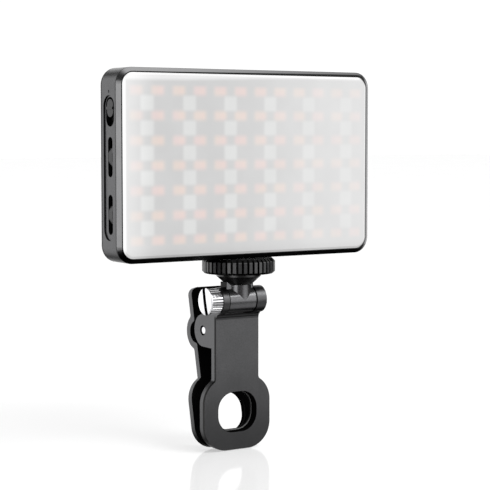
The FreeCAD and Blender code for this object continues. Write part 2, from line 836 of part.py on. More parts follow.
def make_front_jaw():
    body = new_body("front_jaw")
    plate_top = tilt_z - d.plate_short
    front = jaw_outline(new_sketch(body, "XZ_Plane", plate_front), plate_top, None,
                        ZERO, d.ring_round)
    plate = pad(front, body, d.plate_thick)
    # round the corners where the neck widens
    neck_edges = edges_where(plate, lambda p: near(abs(p.x), half_jaw.value) and p.z < plate_top.value - 1)
    soften(body, plate, "Fillet", neck_edges, d.neck_fillet)
    # side flanges: an ear above, a round lobe behind
    lobe_top = d.pivot_height + d.lobe_radius
    lobe_low = d.pivot_height - d.lobe_radius
    fillet_y = d.axis_forward - d.ear_fillet
    fillet_span = d.ear_radius + d.ear_fillet
    fillet_z = -root(fillet_span * fillet_span - fillet_y * fillet_y)
    share = d.ear_radius / fillet_span
    ear_back = tilt_y + d.ear_radius
    side = new_sketch(body, "YZ_Plane", -half_jaw)
    outline(side, [
        (plate_front, lobe_low), (plate_back, lobe_low), (d.pivot_back, lobe_low),
        (d.pivot_back + d.lobe_radius, d.pivot_height, d.lobe_radius, "left"),
        (d.pivot_back, lobe_top, d.lobe_radius, "left"),
        (ear_back + d.neck_fillet, lobe_top),
        (ear_back, lobe_top + d.neck_fillet, d.neck_fillet, "right"), (ear_back, tilt_z),
        (tilt_y, tilt_z + d.ear_radius, d.ear_radius, "left"),
        (tilt_y - d.ear_radius, tilt_z, d.ear_radius, "left"),
        (tilt_y + fillet_y * share, tilt_z + fillet_z * share, d.ear_radius, "left"),
        (plate_front, tilt_z + fillet_z, d.ear_fillet, "right"),
    ])
    pad(side, body, d.jaw_width)
    # space between the lobes, behind the plate
    inner = half_jaw - d.lobe_thick
    behind = new_sketch(body, "YZ_Plane", -inner)
    rectangle(behind, plate_back, lobe_low - d.neck_fillet, d.pivot_back + d.lobe_radius * 2,
              tilt_z + d.ear_radius)
    cut(behind, body, inner * 2)
    # space between the ears, down to the saddle under the barrel
    gap = circle(new_sketch(body, "YZ_Plane", -d.barrel_left - d.ear_gap), tilt_y, tilt_z,
                 d.barrel_radius + d.saddle_gap)
    cut(gap, body, d.barrel_left + d.barrel_right + d.ear_gap * 2)
    cut(hole_outline(new_sketch(body, "XZ_Plane", plate_front), ZERO, ZERO), body, d.plate_thick)
    across = circle(new_sketch(body, "YZ_Plane", -half_jaw), tilt_y, tilt_z, d.screw_radius + d.screw_gap)
    cut(across, body, d.jaw_width)
    pivot = circle(new_sketch(body, "YZ_Plane", -half_jaw), d.pivot_back, d.pivot_height, d.pin_radius)
    cut(pivot, body, d.jaw_width)
    for at, forward in ((-half_jaw, True), (half_jaw, False)):
        sink = circle(new_sketch(body, "YZ_Plane", at), d.pivot_back, d.pivot_height, d.pin_sink_radius)
        cut(sink, body, d.pin_sink, forward)
    return body


def pad_outline(sketch, middle, low_round, hole_middle):
    """The rubber pad's ring, inside the jaw's ring end."""
    wide = d.ring_width / 2 - d.pad_inset
    low = middle - d.ring_bottom + d.pad_inset
    rounded(sketch, -wide, low, wide, middle + d.pad_rise, low_round - d.pad_inset)
    return hole_outline(sketch, hole_middle, -d.pad_lip)


def make_front_pad():
    body = new_body("front_pad")
    face = new_sketch(body, "XZ_Plane", plate_back)
    pad(pad_outline(face, ZERO, d.ring_round, ZERO), body, d.pad_thick)
    return body


def lean_on_pivot(body):
    """The rear jaw's pieces are drawn upright about the pivot, then lean back."""
    place(body, 0, d.pivot_back, d.pivot_height)
    turn(body, FreeCAD.Vector(-1, 0, 0), d.rear_lean)


def make_rear_jaw():
    """Plate bent outwards in a half-round bump behind the pivot, with two lugs inside."""
    body = new_body("rear_jaw")
    inner = d.rear_offset
    outer = d.rear_offset + d.rear_thick
    middle = -d.rear_ring_drop
    low = middle - d.ring_bottom
    bump_in = d.bump_radius - d.rear_thick
    bump_out = root(d.bump_radius * d.bump_radius - d.rear_thick * d.rear_thick)
    ring = d.ring_width / 2
    side = new_sketch(body, "YZ_Plane", -ring)
    outline(side, [
        (inner, low), (outer, low), (outer, -bump_out),
        (inner + d.bump_radius, 0, d.bump_radius, "left"),
        (outer, bump_out, d.bump_radius, "left"), (outer, d.tab_rise), (inner, d.tab_rise),
        (inner, bump_in), (inner + bump_in, 0, bump_in, "right"),
        (inner, -bump_in, bump_in, "right"),
    ])
    blank = pad(side, body, d.ring_width)
    folds = edges_where(blank, lambda p: near(abs(p.z), bump_out.value) or near(abs(p.z), bump_in.value))
    soften(body, blank, "Fillet", folds, d.fold_round)
    # trim the bent plate to the jaw's front view
    frame = new_sketch(body, "XZ_Plane", 0)
    margin = d.ring_width
    rectangle(frame, -margin, low - margin, margin, d.tab_rise + margin)
    jaw_outline(frame, d.tab_rise, d.tab_round, middle, d.rear_round)
    cut(frame, body, d.ring_width)
    hole = hole_outline(new_sketch(body, "XZ_Plane", 0), middle - d.rear_hole_drop, ZERO)
    cut(hole, body, d.ring_width)
    # lugs on the pivot pin, just inside the front jaw's lobes
    lug_out = half_jaw - d.lobe_thick - d.lug_gap
    lug_end = inner + bump_in + d.lug_root
    for start in (-lug_out, lug_out - d.lug_thick):
        lug = new_sketch(body, "YZ_Plane", start)
        outline(lug, [
            (0, -d.lug_radius), (lug_end, -d.lug_radius), (lug_end, d.lug_radius),
            (0, d.lug_radius), (-d.lug_radius, 0, d.lug_radius, "left"),
            (0, -d.lug_radius, d.lug_radius, "left"),
        ][1:])
        pad(lug, body, d.lug_thick)
    bore = circle(new_sketch(body, "YZ_Plane", -ring), 0, 0, d.pin_radius + d.pin_gap)
    cut(bore, body, d.ring_width)
    lean_on_pivot(body)
    return body


def make_rear_pad():
    body = new_body("rear_pad")
    face = new_sketch(body, "XZ_Plane", d.rear_offset - d.pad_thick)
    middle = -d.rear_ring_drop
    ring = pad_outline(face, middle, d.rear_round, middle - d.rear_hole_drop)
    pad(ring, body, d.pad_thick)
    lean_on_pivot(body)
    return body


def make_pivot_pin():
    pin = doc.addObject("Part::Cylinder", "pivot_pin")
    pin.Label = "pivot_pin"
    bind(pin, "Radius", d.pin_radius)
    bind(pin, "Height", d.jaw_width - d.pin_sink)
    pin.Placement.Rotation = FreeCAD.Rotation(FreeCAD.Vector(0, 1, 0), 90)
    place(pin, -half_jaw + d.pin_sink / 2, d.pivot_back, d.pivot_height)
    return pin


def make_clip_spring():
    """Torsion spring of six-sided wire round the pivot pin: its front leg bears on the front
    plate and its rear leg on the rear jaw's tab. It is a skin of small flat faces."""
    wire, radius = d.wire_radius.value, d.coil_radius.value
    span = d.coil_pitch.value * d.coil_turns.value
    lean, reach = math.radians(d.rear_lean.value), d.spring_reach.value
    bare = wire + d.pin_gap.value
    seat = d.rear_offset.value - bare
    # each station is a place on the wire and the way out from the coil's axis
    steps = round(d.coil_turns.value * 12)
    stations = []
    for i in range(steps + 1):
        angle = math.radians(30 * i)
        out = FreeCAD.Vector(0, -math.cos(angle), -math.sin(angle))
        stations.append((out * radius + FreeCAD.Vector(span * (i / steps - 0.5), 0, 0), out))
    front = FreeCAD.Vector(-span / 2, plate_back.value - d.pivot_back.value + bare, reach)
    rear = FreeCAD.Vector(span / 2, seat * math.cos(lean) + reach * math.sin(lean),
                          reach * math.cos(lean) - seat * math.sin(lean))
    stations = [(front, stations[0][1])] + stations + [(rear, stations[-1][1])]
    loops = []
    for i, (spot, out) in enumerate(stations):
        along = stations[min(i + 1, len(stations) - 1)][0] - stations[max(i - 1, 0)][0]
        across = along.cross(out).normalize()
        out = across.cross(along).normalize()
        loops.append([spot + out * (wire * math.cos(math.pi / 3 * k))
                      + across * (wire * math.sin(math.pi / 3 * k)) for k in range(6)])
    skin = [Part.Face(Part.makePolygon(loop + loop[:1])) for loop in (loops[0], loops[-1])]
    for here, there in zip(loops, loops[1:]):
        for k in range(6):
            a, b, c, e = here[k - 1], here[k], there[k], there[k - 1]
            skin.append(Part.Face(Part.makePolygon([a, b, c, a])))
            skin.append(Part.Face(Part.makePolygon([a, c, e, a])))
    shell = Part.makeShell(skin)
    shell.sewShape()
    shape = Part.makeSolid(shell)
    if shape.Volume < 0:
        shape.reverse()
    spring = doc.addObject("Part::Feature", "clip_spring")
    spring.Label = "clip_spring"
    spring.Shape = shape
    spring.Placement.Base = FreeCAD.Vector(0, d.pivot_back.value, d.pivot_height.value)
    return spring


parts = [
    make_housing(), make_back_cover(), make_diffuser(), make_led_board(), *make_all_leds(),
    make_battery(), *make_circuit_boards(), make_charge_socket(), *make_switches(),
    make_power_slider(), make_toggle("upper_toggle", upper_mid),
    make_toggle("lower_toggle", lower_mid), make_indicator_lens(), make_tripod_socket(),
    make_stud(), make_stud_ring(), make_locking_wheel(), make_tilt_post(), make_thumb_screw(),
    make_front_jaw(), make_front_pad(), make_pivot_pin(), make_clip_spring(),
    make_rear_jaw(), make_rear_pad(),
]
doc.recompute()

for item in doc.Objects:
    if "Invalid" in item.State or "Error" in item.State:
        raise RuntimeError("%s failed: %s" % (item.Label, item.State))
for part in parts:
    if part.Shape.isNull() or not part.Shape.isValid():
        raise RuntimeError("%s has no valid shape" % part.Label)

os.makedirs("parts", exist_ok=True)
for part in parts:
    part.Shape.exportStep("parts/%s.step" % part.Label)
    box_of = part.Shape.BoundBox
    print("%-16s solids %3d volume %9.1f  X %7.2f %7.2f  Y %7.2f %7.2f  Z %7.2f %7.2f" % (
        part.Label, len(part.Shape.Solids), part.Shape.Volume, box_of.XMin, box_of.XMax,
        box_of.YMin, box_of.YMax, box_of.ZMin, box_of.ZMax))
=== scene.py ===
"""A clip-on fill light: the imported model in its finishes, in a white studio."""
import bpy
import math
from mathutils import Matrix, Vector


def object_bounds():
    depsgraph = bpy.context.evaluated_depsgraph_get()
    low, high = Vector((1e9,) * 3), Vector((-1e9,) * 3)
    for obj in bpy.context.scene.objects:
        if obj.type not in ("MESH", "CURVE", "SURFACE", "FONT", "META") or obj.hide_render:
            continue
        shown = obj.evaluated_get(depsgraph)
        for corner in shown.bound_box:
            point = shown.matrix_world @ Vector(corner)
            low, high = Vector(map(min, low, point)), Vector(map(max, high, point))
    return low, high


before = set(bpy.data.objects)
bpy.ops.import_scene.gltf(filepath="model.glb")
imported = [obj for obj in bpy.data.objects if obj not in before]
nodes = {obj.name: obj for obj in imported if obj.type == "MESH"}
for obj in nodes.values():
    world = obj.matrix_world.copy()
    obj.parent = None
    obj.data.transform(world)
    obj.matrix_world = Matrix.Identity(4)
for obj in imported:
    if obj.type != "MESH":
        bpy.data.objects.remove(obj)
cad_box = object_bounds()

MM = 0.001
# places and sizes on the object, in millimetres
PANEL_HALF = 54.0
PANEL_MID = 91.55
PANEL_FRONT = -13.25
BEVEL_DEEP = 1.45
LIGHT_PITCH, LIGHT_ROW = 8.5, 8.7
TILT_Y, TILT_Z = -5.05, 41.75
BARREL_LEFT, BARREL_RIGHT = -6.6, 5.1
HOLE_HALF_WIDE, HOLE_HALF_TALL, HOLE_ROUND = 8.3, 7.4, 6.4
SLOT_LEAN, SLOT_HALF, SLOT_FLOOR = 13.0, 0.92, -12.9
JAW_EDGE_FRONT, JAW_EDGE_BACK, JAW_SHOULDER = -4.6, -3.05, 35.0
PAD_LIP = -0.97
KNURL_ROOT, KNURL_TIP = 3.6, 4.58
KNURL_FROM, KNURL_TO = -14.0, -7.2
WHEEL_RIB_ROOT, WHEEL_RIB_TIP = 11.6, 13.05
BLACK = (0.0, 0.0, 0.0)
SPECULAR = 0.5


class Look:
    """A finish: a shader and the small node graph that drives it, in millimetres."""

    def __init__(self, name, colour, rough, metal=0.0, **sockets):
        self.material = bpy.data.materials.new(name)
        self.material.use_nodes = True
        self.tree = self.material.node_tree
        self.tree.nodes.clear()
        self.shader = self.node("ShaderNodeBsdfPrincipled")
        self.out = self.node("ShaderNodeOutputMaterial")
        self.tree.links.new(self.shader.outputs[0], self.out.inputs["Surface"])
        self.set("Base Color", colour)
        self.set("Roughness", rough)
        self.set("Metallic", metal)
        for socket, value in sockets.items():
            self.set(socket.replace("_", " "), value)
        spot = self.node("ShaderNodeTexCoord").outputs["Object"]
        scaled = self.node("ShaderNodeVectorMath", operation="SCALE")
        self.tree.links.new(spot, scaled.inputs[0])
        scaled.inputs["Scale"].default_value = 1000.0
        self.spot = scaled.outputs[0]
        axes = self.node("ShaderNodeSeparateXYZ")
        self.tree.links.new(self.spot, axes.inputs[0])
        self.x, self.y, self.z = axes.outputs
        faces = self.node("ShaderNodeSeparateXYZ")
        self.tree.links.new(self.node("ShaderNodeTexCoord").outputs["Normal"], faces.inputs[0])
        self.facing = dict(zip("xyz", faces.outputs))

    def node(self, kind, **props):
        made = self.tree.nodes.new(kind)
        for key, value in props.items():
            setattr(made, key, value)
        return made

    def feed(self, socket, value):
        if isinstance(value, bpy.types.NodeSocket):
            self.tree.links.new(value, socket)
        elif isinstance(value, tuple) and len(value) == 3 and len(socket.default_value) == 4:
            socket.default_value = (*value, 1.0)
        else:
            socket.default_value = value

    def set(self, name, value):
        self.feed(self.shader.inputs[name], value)

    def math(self, operation, a, b=0.0):
        made = self.node("ShaderNodeMath", operation=operation)
        for socket, value in zip(made.inputs, (a, b)):
            self.feed(socket, value)
        return made.outputs[0]

    def less(self, a, b):
        return self.math("SUBTRACT", a, b)

    def most(self, a, b):
        return self.math("MAXIMUM", a, b)

    def size(self, a):
        return self.math("ABSOLUTE", a)

    def plus(self, *values):
        total = values[0]
        for value in values[1:]:
            total = self.math("ADD", total, value)
        return total

    def times(self, *values):
        total = values[0]
        for value in values[1:]:
            total = self.math("MULTIPLY", total, value)
        return total

    def base(self):
        """What feeds the base colour."""
        return self.shader.inputs["Base Color"].links[0].from_socket

    def reach(self, a, b):
        """Length of the vector (a, b)."""
        flat = self.node("ShaderNodeCombineXYZ")
        self.feed(flat.inputs[0], a)
        self.feed(flat.inputs[1], b)
        made = self.node("ShaderNodeVectorMath", operation="LENGTH")
        self.feed(made.inputs[0], flat.outputs[0])
        return made.outputs["Value"]

    def dull(self, mask, loss=SPECULAR):
        """Takes the specular level down by loss where mask is 1."""
        self.set("Specular IOR Level", self.less(SPECULAR, self.times(mask, loss)))

    def step(self, value, low, high, to_low=0.0, to_high=1.0):
        """Smooth change from to_low to to_high while value goes from low to high."""
        made = self.node("ShaderNodeMapRange", interpolation_type="SMOOTHSTEP")
        for socket, part in zip(made.inputs, (value, low, high, to_low, to_high)):
            self.feed(socket, part)
        return made.outputs[0]

    def band(self, value, low, high, soft=0.05):
        """1 between low and high, 0 outside."""
        return self.times(self.step(value, low - soft, low + soft),
                          self.step(value, high - soft, high + soft, 1.0, 0.0))

    def noise(self, size, detail=2.0, rough=0.5, stretch=(1, 1, 1)):
        """Noise whose lumps are about size millimetres, stretched along the axes."""
        spot = self.node("ShaderNodeVectorMath", operation="MULTIPLY")
        self.feed(spot.inputs[0], self.spot)
        spot.inputs[1].default_value = tuple(1.0 / (size * s) for s in stretch)
        made = self.node("ShaderNodeTexNoise")
        self.feed(made.inputs["Vector"], spot.outputs[0])
        made.inputs["Scale"].default_value = 1.0
        made.inputs["Detail"].default_value = detail
        made.inputs["Roughness"].default_value = rough
        return made.outputs[0]

    def mix(self, share, a, b):
        made = self.node("ShaderNodeMix", data_type="RGBA")
        self.feed(made.inputs[0], share)
        self.feed(made.inputs[6], a)
        self.feed(made.inputs[7], b)
        return made.outputs[2]

    def bump(self, height, depth):
        """Relief from a height of 0 to 1 that stands for depth millimetres."""
        made = self.node("ShaderNodeBump")
        made.inputs["Strength"].default_value = 1.0
        made.inputs["Distance"].default_value = depth * MM
        self.feed(made.inputs["Height"], height)
        if self.shader.inputs["Normal"].is_linked:
            self.feed(made.inputs["Normal"], self.shader.inputs["Normal"].links[0].from_socket)
        self.set("Normal", made.outputs[0])

    def cell(self, along, pitch, offset):
        """Distance in millimetres from the nearest of the places offset + n * pitch."""
        shifted = self.math("DIVIDE", self.less(along, offset), pitch)
        part = self.math("FRACT", self.plus(shifted, 0.5))
        return self.times(self.size(self.less(part, 0.5)), pitch)


def shade(colour, factor):
    return tuple(min(1.0, c * factor) for c in colour)


def coated(name, colour, rough, grain=0.35, depth=0.02, metal=0.0, **sockets):
    """Painted or anodised metal, or moulded plastic: fine grain, slight unevenness."""
    look = Look(name, colour, rough, metal, **sockets)
    cloud = look.noise(9.0, 3.0)
    speck = look.noise(grain, 2.0, 0.6)
    tone = look.plus(look.times(cloud, 0.3), look.times(speck, 0.7))
    dark, light = shade(colour, 0.8), shade(colour, 1.22)
    look.set("Base Color", look.mix(look.step(tone, 0.3, 0.7), dark, light))
    look.set("Roughness", look.step(cloud, 0.25, 0.75, rough - 0.02, rough + 0.03))
    look.bump(speck, depth)
    return look


def turned(name, colour, rough, along):
    """Bare metal with fine lathe or brush lines across the given axis."""
    look = Look(name, colour, rough, 1.0)
    stretch = tuple(1.0 if axis == along else 30.0 for axis in "xyz")
    lines = look.noise(0.16, 3.0, 0.6, stretch)
    cloud = look.noise(4.0, 2.0)
    dark, light = shade(colour, 0.9), shade(colour, 1.06)
    look.set("Base Color", look.mix(look.step(cloud, 0.3, 0.7), dark, light))
    look.set("Roughness", look.step(lines, 0.3, 0.7, rough - 0.06, rough + 0.1))
    look.bump(lines, 0.012)
    return look


def lit_sheet():
    """Frosted sheet, lit from behind: warm spots in rows, white squares between them."""
    look = Look("lit_sheet", (0.22, 0.22, 0.22), 0.32, Specular_IOR_Level=0.35)
    rise = look.less(look.z, PANEL_MID)
    pitch, row = LIGHT_PITCH, LIGHT_ROW

    def spots(dx, dz, wide, tall, soft):
        """1 in a rectangle round the place that dx and dz are measured from."""
        across = look.step(dx, wide / 2 - soft, wide / 2 + soft, 1.0, 0.0)
        upward = look.step(dz, tall / 2 - soft, tall / 2 + soft, 1.0, 0.0)
        return look.times(across, upward)

    warm = spots(look.cell(look.x, pitch, pitch / 2), look.cell(rise, row, 0.0), 5.0, 3.2, 1.2)
    cool = spots(look.cell(look.x, pitch * 2, pitch), look.cell(rise, row, row / 2),
                 5.2, 5.2, 0.9)
    # seven warm rows and six cool ones; the first warm column is fainter
    inside = look.step(look.size(rise), 27.5, 28.7, 1.0, 0.0)
    warm = look.times(warm, inside, look.step(look.x, -45.0, -41.0, 0.6, 1.0))
    cool = look.times(cool, look.step(look.size(rise), 25.0, 25.6, 1.0, 0.0))
    # the field is brighter near the left end, then rises slowly to the right
    left = look.step(look.x, -51.5, -38.0, 0.17, 0.0)
    right = look.step(look.x, -20.0, 46.0, 0.0, 0.12)
    bright = look.less(rise, look.step(look.x, -45.0, 30.0, 0.0, 1.5))
    high = look.step(bright, 28.9, 30.6, 0.0, 0.2)
    low = look.step(rise, -33.0, -28.0, -0.07, 0.0)
    rim = look.most(look.step(look.x, -51.6, -50.4, 1.0, 0.0), look.step(rise, 31.2, 32.0))
    rim = look.most(rim, look.step(look.x, 51.0, 51.8))
    rim = look.times(rim, 0.3)
    cloud = look.step(look.noise(14.0, 2.0), 0.3, 0.7, -0.012, 0.012)
    middle_level = 0.43
    level = look.plus(left, right, high, low, cloud, rim, middle_level)
    field = look.node("ShaderNodeCombineXYZ")
    for socket in field.inputs:
        look.feed(socket, level)
    glow = look.node("ShaderNodeVectorMath", operation="ADD")
    look.feed(glow.inputs[0], field.outputs[0])
    # the spots get fainter to the right, and differ a little in hue
    faint = look.step(look.x, -15.0, 45.0, 1.0, 0.42)
    peach, pink = (0.15, 0.055, 0.005), (0.15, 0.03, 0.015)
    hue = look.mix(look.step(look.noise(13.0, 1.0), 0.42, 0.58), peach, pink)
    beside = look.cell(look.x, pitch, pitch / 2 + 1.0)
    core = spots(beside, look.cell(rise, row, 0.0), 2.4, 2.2, 0.9)
    hue = look.mix(look.times(core, 0.5), hue, (0.19, 0.05, -0.015))
    tint = look.mix(look.times(warm, faint), BLACK, hue)
    tint = look.mix(look.times(cool, faint), tint, (0.1, 0.105, 0.1))
    look.feed(glow.inputs[1], tint)
    look.set("Emission Color", glow.outputs[0])
    look.set("Emission Strength", 1.0)
    look.bump(look.noise(0.3, 2.0), 0.006)
    return look


def light_package(name, core, pitch, first, first_row):
    """Light packages: a white rim round a phosphor field."""
    rim = (0.86, 0.86, 0.84)
    look = Look(name, rim, 0.35)
    dx = look.cell(look.x, pitch, first)
    dz = look.cell(look.less(look.z, PANEL_MID), LIGHT_ROW, first_row)
    field = look.times(look.step(dx, 1.25, 1.4, 1.0, 0.0), look.step(dz, 0.95, 1.1, 1.0, 0.0))
    look.set("Base Color", look.mix(field, rim, core))
    look.set("Roughness", look.step(look.noise(0.5), 0.3, 0.7, 0.28, 0.42))
    look.bump(look.less(1.0, field), 0.1)
    return look


def circuit(name, mask, copper):
    """Solder mask over tracks in two directions, with small tinned pads."""
    look = Look(name, mask, 0.4)
    wander = look.times(look.noise(11.0, 1.0), 6.0)
    dx = look.cell(look.plus(look.x, wander), 2.1, 0.0)
    dz = look.cell(look.plus(look.z, wander), 2.6, 0.4)
    choose = look.step(look.noise(7.0, 1.0), 0.48, 0.52)
    tracks = [look.step(beside, 0.2, 0.28, 1.0, 0.0) for beside in (dx, dz)]
    track = look.mix(choose, *tracks)
    columns = look.cell(look.x, LIGHT_PITCH / 2, 0.0)
    rows = look.cell(look.z, LIGHT_ROW / 2, 1.0)
    pads = look.times(*(look.step(beside, 0.35, 0.42, 1.0, 0.0) for beside in (columns, rows)))
    colour = look.mix(look.times(track, 0.4), mask, copper)
    look.set("Base Color", look.mix(pads, colour, (0.72, 0.72, 0.70)))
    look.set("Roughness", look.step(look.noise(1.5), 0.3, 0.7, 0.32, 0.46))
    look.bump(look.plus(track, pads), 0.035)
    return look


def wrapped_cell():
    """A pouch cell in its foil, with faint creases and folded seams at both ends."""
    foil, tape = (0.42, 0.44, 0.47), (0.62, 0.5, 0.2)
    middle, half = 95.5, 19.5
    look = Look("foil", foil, 0.32, 0.85)
    crease = look.noise(2.2, 4.0, 0.7, (1, 1, 2.5))
    seam = look.step(look.size(look.less(look.z, middle)), half, half + 0.4)
    look.set("Base Color", look.mix(seam, foil, tape))
    look.set("Roughness", look.step(crease, 0.3, 0.7, 0.24, 0.42))
    look.bump(crease, 0.15)
    return look


def wheel_plastic():
    """Black moulded plastic with turning rings; the ribs' tips carry a painted highlight and the
    gaps between them painted shade.
    """
    look = coated("wheel_plastic", (0.008, 0.008, 0.009), 0.26, 0.3, 0.012)
    out = look.reach(look.x, look.less(look.y, TILT_Y))
    # painted highlight on the ribs' outer faces, and painted shade in the gaps between the ribs:
    # near black with the specular turned down
    tip_highlight = look.step(out, WHEEL_RIB_TIP, WHEEL_RIB_TIP + 0.3)
    gap_shade = look.times(look.step(out, WHEEL_RIB_ROOT, WHEEL_RIB_ROOT + 0.3), look.less(1.0, tip_highlight))
    tone = look.mix(tip_highlight, (0.012, 0.012, 0.0125), (0.045, 0.045, 0.046))
    look.set("Base Color", look.mix(gap_shade, tone, (0.001, 0.001, 0.001)))
    look.set("Specular IOR Level", look.step(gap_shade, 0.0, 1.0, 0.7, 0.08))
    rings = look.math("SINE", look.times(out, 20.0))
    look.bump(look.times(rings, 0.5), 0.006)
    return look


def jaw_finish():
    """Dark anodised metal, with painted shade that deepens its tone towards the ring.

    A painted dark reflection makes a black line along the front edge, and the walls of the camera
    hole are black and dull.
    """
    look = coated("jaw_coat", CLIP_TONE, 0.36, 0.3, 0.012, metal=1.0)
    flat = look.base()
    # painted shade: darker towards the ring at the bottom
    flat = look.mix(look.step(look.z, -16.0, 22.0, 0.45, 0.0), flat, BLACK)
    # painted dark reflection: a black line on the side faces along the front edge, below the
    # shoulder
    along = look.times(look.band(look.y, JAW_EDGE_FRONT, JAW_EDGE_BACK, 0.08),
                       look.step(look.z, JAW_SHOULDER, JAW_SHOULDER + 1.5, 1.0, 0.0),
                       look.step(look.facing["y"], -0.98, -0.93))
    # the walls of the camera hole are black, not metallic and dull
    hole_wall_black = look.step(hole_distance(look), 0.12, 0.22, 1.0, 0.0)
    look.set("Base Color", look.mix(look.most(along, hole_wall_black), flat, (0.003, 0.003, 0.003)))
    look.set("Metallic", look.less(1.0, hole_wall_black))
    look.dull(hole_wall_black)
    return look


def rear_finish():
    """The rear jaw's metal, with painted shade that deepens its tone towards the ring.

    Painted shade makes it black on the side that faces the front jaw, and the walls of its camera
    hole are black and dull.
    """
    look = coated("rear_coat", CLIP_TONE, 0.36, 0.3, 0.012, metal=1.0)
    flat = look.base()
    # painted shade: darker towards the ring at the bottom
    flat = look.mix(look.step(look.z, -16.0, 14.0, 0.75, 0.0), flat, BLACK)
    # painted shade: the faces turned towards the front jaw are black and dull
    inner_face_shade = look.step(look.facing["y"], -0.8, -0.6, 1.0, 0.0)
    wall = look.step(look.size(look.facing["y"]), 0.5, 0.6, 1.0, 0.0)
    # the walls of the camera hole are black and dull
    hole_wall_black = look.times(wall, look.step(hole_distance(look), 2.4, 2.6, 1.0, 0.0))
    dark = look.most(inner_face_shade, hole_wall_black)
    look.set("Base Color", look.mix(dark, flat, (0.006, 0.006, 0.006)))
    look.set("Metallic", look.less(1.0, dark))
    look.dull(dark)
    return look


def hole_distance(look):
    """Distance in millimetres outwards from the front jaw's camera hole."""
    past = [look.most(look.less(look.size(along), half - HOLE_ROUND), 0.0)
            for along, half in ((look.x, HOLE_HALF_WIDE), (look.z, HOLE_HALF_TALL))]
    return look.less(look.reach(*past), HOLE_ROUND)


def moulded_rubber(name):
    """Dull black rubber."""
    return coated(name, (0.005, 0.005, 0.0055), 0.75, 0.5, 0.05, Specular_IOR_Level=0.02)


def pad_rubber():
    """Black rubber, with a painted highlight in light grey on its lip round the camera hole."""
    look = moulded_rubber("pad_rubber")
    flat = look.base()
    # painted highlight: the lip round the camera hole is light grey
    lip = look.times(look.step(look.y, PAD_LIP, PAD_LIP + 0.07, 1.0, 0.0),
                     look.step(hole_distance(look), 0.0, 0.1, 1.0, 0.0))
    look.set("Base Color", look.mix(lip, flat, (0.2, 0.2, 0.2)))
    return look


def screw_metal():
    """Bright turned metal; painted shade makes the driver slot and the grooves of the knurling
    dark.
    """
    look = turned("screw_metal", (0.9, 0.9, 0.92), 0.2, "x")
    metal = look.base()
    lean = math.radians(SLOT_LEAN)
    dy, dz = look.less(look.y, TILT_Y), look.less(look.z, TILT_Z)
    off = look.size(look.less(look.times(dy, math.cos(lean)), look.times(dz, math.sin(lean))))
    # painted shade: the driver slot is black and dull
    slot_shade = look.times(look.step(off, SLOT_HALF, SLOT_HALF + 0.08, 1.0, 0.0),
                        look.step(look.x, SLOT_FLOOR, SLOT_FLOOR + 0.1, 1.0, 0.0))
    # painted shade: the grooves of the knurling are darkened
    knurl_groove_shade = look.times(look.band(look.reach(dy, dz), KNURL_ROOT, KNURL_TIP, 0.06),
                       look.band(look.x, KNURL_FROM, KNURL_TO, 0.1),
                       look.step(look.size(look.facing["x"]), 0.3, 0.5, 1.0, 0.0))
    metal = look.mix(look.times(knurl_groove_shade, 0.7), metal, (0.02, 0.02, 0.02))
    look.set("Base Color", look.mix(slot_shade, metal, (0.006, 0.006, 0.006)))
    look.set("Metallic", look.less(1.0, slot_shade))
    look.dull(slot_shade, 0.45)
    return look


def frame_finish():
    """Dark anodised metal with a bright front bevel between two black lines of painted shade.

    Painted shade darkens the bevel on its left side and on its lower side, and along the top it
    darkens to the right.
    """
    look = coated("frame_coat", (0.096, 0.096, 0.099), 0.27, 0.28, 0.01, metal=1.0)
    flat = look.base()
    depth = look.less(look.y, PANEL_FRONT)
    bevel = look.step(depth, BEVEL_DEEP - 0.03, BEVEL_DEEP + 0.11, 1.0, 0.0)
    # painted shade: the bevel is near black on its lower side, and along the top it darkens to
    # the right
    under = look.step(look.facing["z"], -0.5, -0.2, 1.0, 0.0)
    above = look.step(look.facing["z"], 0.2, 0.5)
    top_shade_ramp = look.times(above, look.step(look.x, -PANEL_HALF, PANEL_HALF))
    bevel_shade = look.most(look.times(under, 0.9), look.times(top_shade_ramp, 0.5))
    # painted shade: the left-facing bevel is darker than the rest of it
    left = look.step(look.facing["x"], -0.6, -0.3, 1.0, 0.0)
    bevel_metal_and_shade = look.mix(left, (0.34, 0.34, 0.344), (0.2, 0.2, 0.203))
    bevel_metal_and_shade = look.mix(bevel_shade, bevel_metal_and_shade, (0.01, 0.01, 0.01))
    tone = look.mix(bevel, flat, bevel_metal_and_shade)
    # painted shade: a black line along the bevel's front edge, wider towards the top right, and a
    # second one just behind the bevel, both left out at the right end
    lip = look.step(look.less(depth, look.times(top_shade_ramp, 0.55)), 0.03, 0.12, 1.0, 0.0)
    seam = look.band(depth, BEVEL_DEEP, BEVEL_DEEP + 0.5, 0.08)
    dark = look.most(lip, look.times(seam, 0.8))
    dark = look.times(dark, look.step(look.x, 50.5, 52.0, 1.0, 0.0))
    look.set("Base Color", look.mix(dark, tone, (0.008, 0.008, 0.008)))
    return look


def post_finish():
    """Dark satin metal; painted shade makes the barrel's two end edges black beside the ears."""
    look = coated("post_coat", (0.165, 0.165, 0.17), 0.22, 0.35, 0.01, metal=0.85)
    flat = look.base()
    # painted shade in the gaps between the barrel's ends and the ears
    end_shade = look.most(look.step(look.x, BARREL_LEFT + 0.15, BARREL_LEFT + 0.45, 1.0, 0.0),
                     look.step(look.x, BARREL_RIGHT - 0.45, BARREL_RIGHT - 0.15))
    look.set("Base Color", look.mix(end_shade, flat, (0.002, 0.002, 0.002)))
    look.dull(end_shade)
    return look


